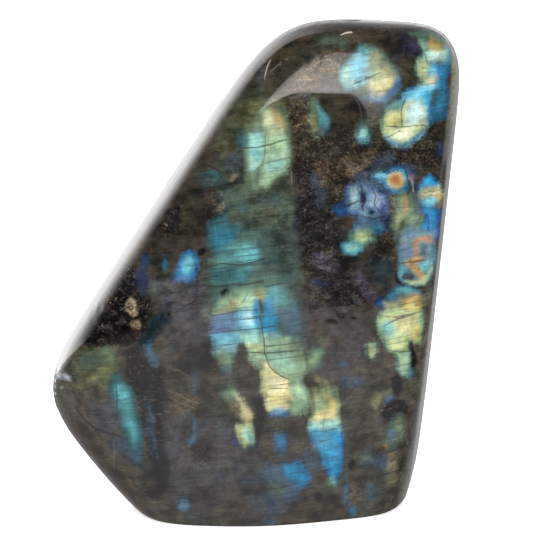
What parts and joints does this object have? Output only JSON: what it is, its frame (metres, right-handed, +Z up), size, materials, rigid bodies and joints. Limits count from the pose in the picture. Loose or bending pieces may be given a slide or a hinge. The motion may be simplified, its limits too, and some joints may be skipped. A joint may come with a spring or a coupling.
{
  "type": "partially polished labradorite",
  "caption": "Free-standing wedge of dark labradorite with a polished front and rim, a rough cleaved back and a sawn flat base, for display on a shelf.",
  "frame": {"origin": "middle of the stone's bounding box, at the height of its flat sawn base", "axes": "+Z up along the stone's height, +Y from the polished front to the rough back, +X to the viewer's right when facing the front"},
  "size_m": [0.1366, 0.0574, 0.166],
  "materials": {
    "labradorite": "dark feldspar with blue, green and gold flashes, polished on the front and rim, rough on the back"
  },
  "bodies": {
    "root": {"labradorite": "labradorite"}
  },
  "joints": []
}
